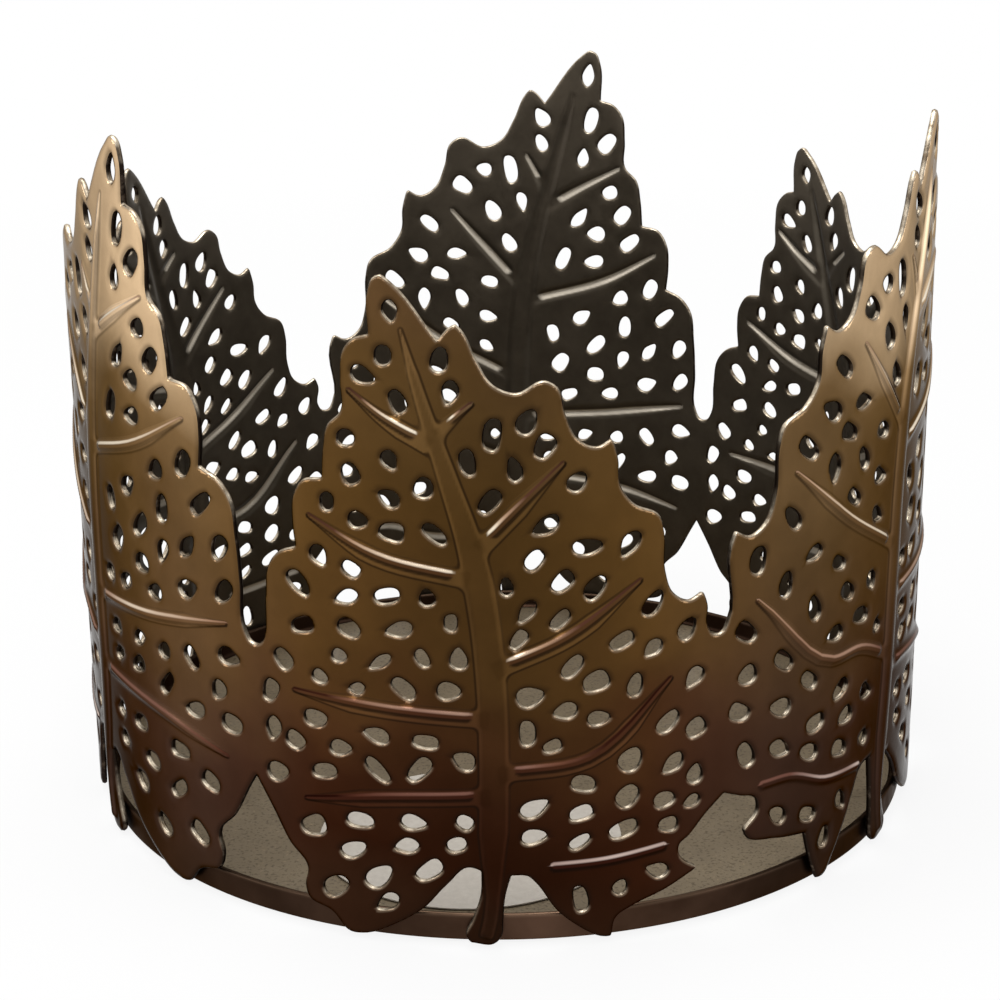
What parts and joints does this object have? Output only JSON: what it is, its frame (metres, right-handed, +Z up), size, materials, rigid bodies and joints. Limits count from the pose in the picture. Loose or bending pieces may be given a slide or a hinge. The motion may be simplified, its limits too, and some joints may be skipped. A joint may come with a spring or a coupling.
{
  "type": "leaf crown candle holder",
  "caption": "Candle holder made as a ring of perforated, vein-embossed sheet-metal leaves, low and tall in turn, standing round a shallow round pan that carries a jar candle",
  "frame": {"origin": "centre of the pan's flat underside, on the surface that the holder stands on", "axes": "+Z up; the low front leaf faces -Y; +X to the viewer's right when facing that leaf"},
  "size_m": [0.1132, 0.1134, 0.0914],
  "materials": {
    "leaf_metal": "glossy tinted bronze lacquer outside, satin gunmetal inside",
    "pan_metal": "speckled grey-brown satin floor, dark brown rim",
    "label_paper": "plain white paper, blank"
  },
  "bodies": {
    "root": {"leaf_band_front": "leaf_metal", "leaf_band_rear": "leaf_metal", "base_pan": "pan_metal", "floor_label": "label_paper"}
  },
  "joints": []
}
